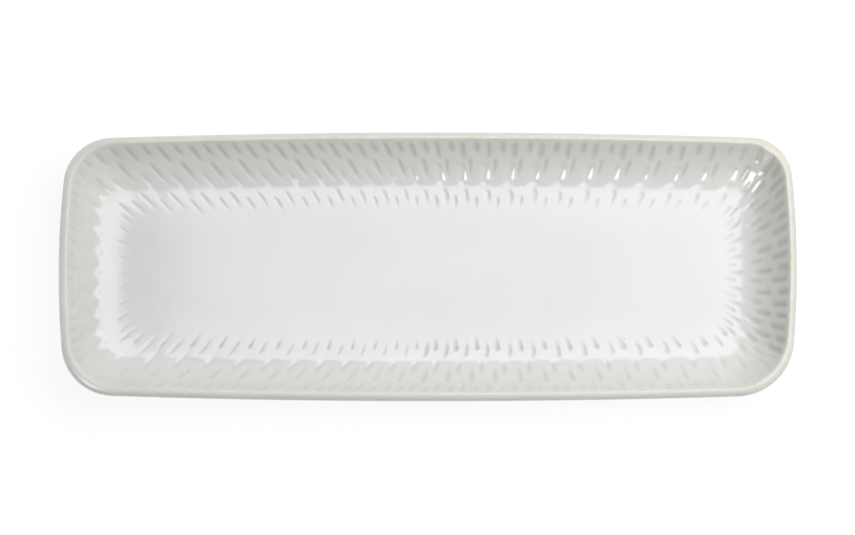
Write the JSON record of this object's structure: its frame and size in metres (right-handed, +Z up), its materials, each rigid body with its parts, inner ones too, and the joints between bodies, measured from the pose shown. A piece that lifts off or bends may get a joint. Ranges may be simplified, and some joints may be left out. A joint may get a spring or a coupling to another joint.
{
  "type": "appetizer platter",
  "caption": "Long rectangular stoneware platter with bowed sides, a curved carved wall, a rounded rim and a dry foot ring, for serving small food.",
  "frame": {"origin": "on the table under the middle of the platter, at the flat of the foot ring", "axes": "+X along the length, +Y along the width, +Z up out of the well"},
  "size_m": [0.355, 0.131, 0.029],
  "materials": {
    "bare_clay": "fired, unglazed, matte",
    "face_glaze": "glossy white glaze, cream where it thins on the rim",
    "back_glaze": "glossy white glaze, cream where it thins on the rim",
    "panel_glaze": "glossy white glaze"
  },
  "bodies": {
    "root": {"clay_body": "bare_clay", "inner_glaze": "face_glaze", "outer_glaze": "back_glaze", "base_glaze": "panel_glaze"}
  },
  "joints": []
}
